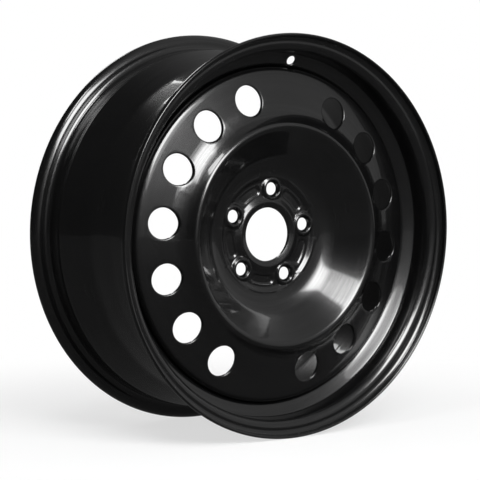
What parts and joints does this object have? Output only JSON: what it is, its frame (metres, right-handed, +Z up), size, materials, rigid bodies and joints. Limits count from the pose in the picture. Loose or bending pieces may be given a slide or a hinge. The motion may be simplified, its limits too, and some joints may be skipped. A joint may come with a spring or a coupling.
{
  "type": "steel wheel",
  "caption": "Gloss-black pressed-steel car wheel: rolled drop-centre rim welded to a dished disc with round hand holes, conical lug seats and an open centre bore.",
  "frame": {"origin": "on the axle line, midway between the two rim flanges, which is the centre of the wheel's box", "axes": "+Y along the axle line towards the car, -Y is the street side, +Z up with the wheel standing upright as pictured"},
  "size_m": [0.4712, 0.2042, 0.471],
  "materials": {
    "rim_paint": "gloss black coat on rolled steel",
    "disc_paint": "gloss black coat on stamped steel",
    "weld_paint": "gloss black coat over a rippled weld bead"
  },
  "bodies": {
    "root": {"rim": "rim_paint", "disc": "disc_paint", "weld_beads": "weld_paint"}
  },
  "joints": []
}
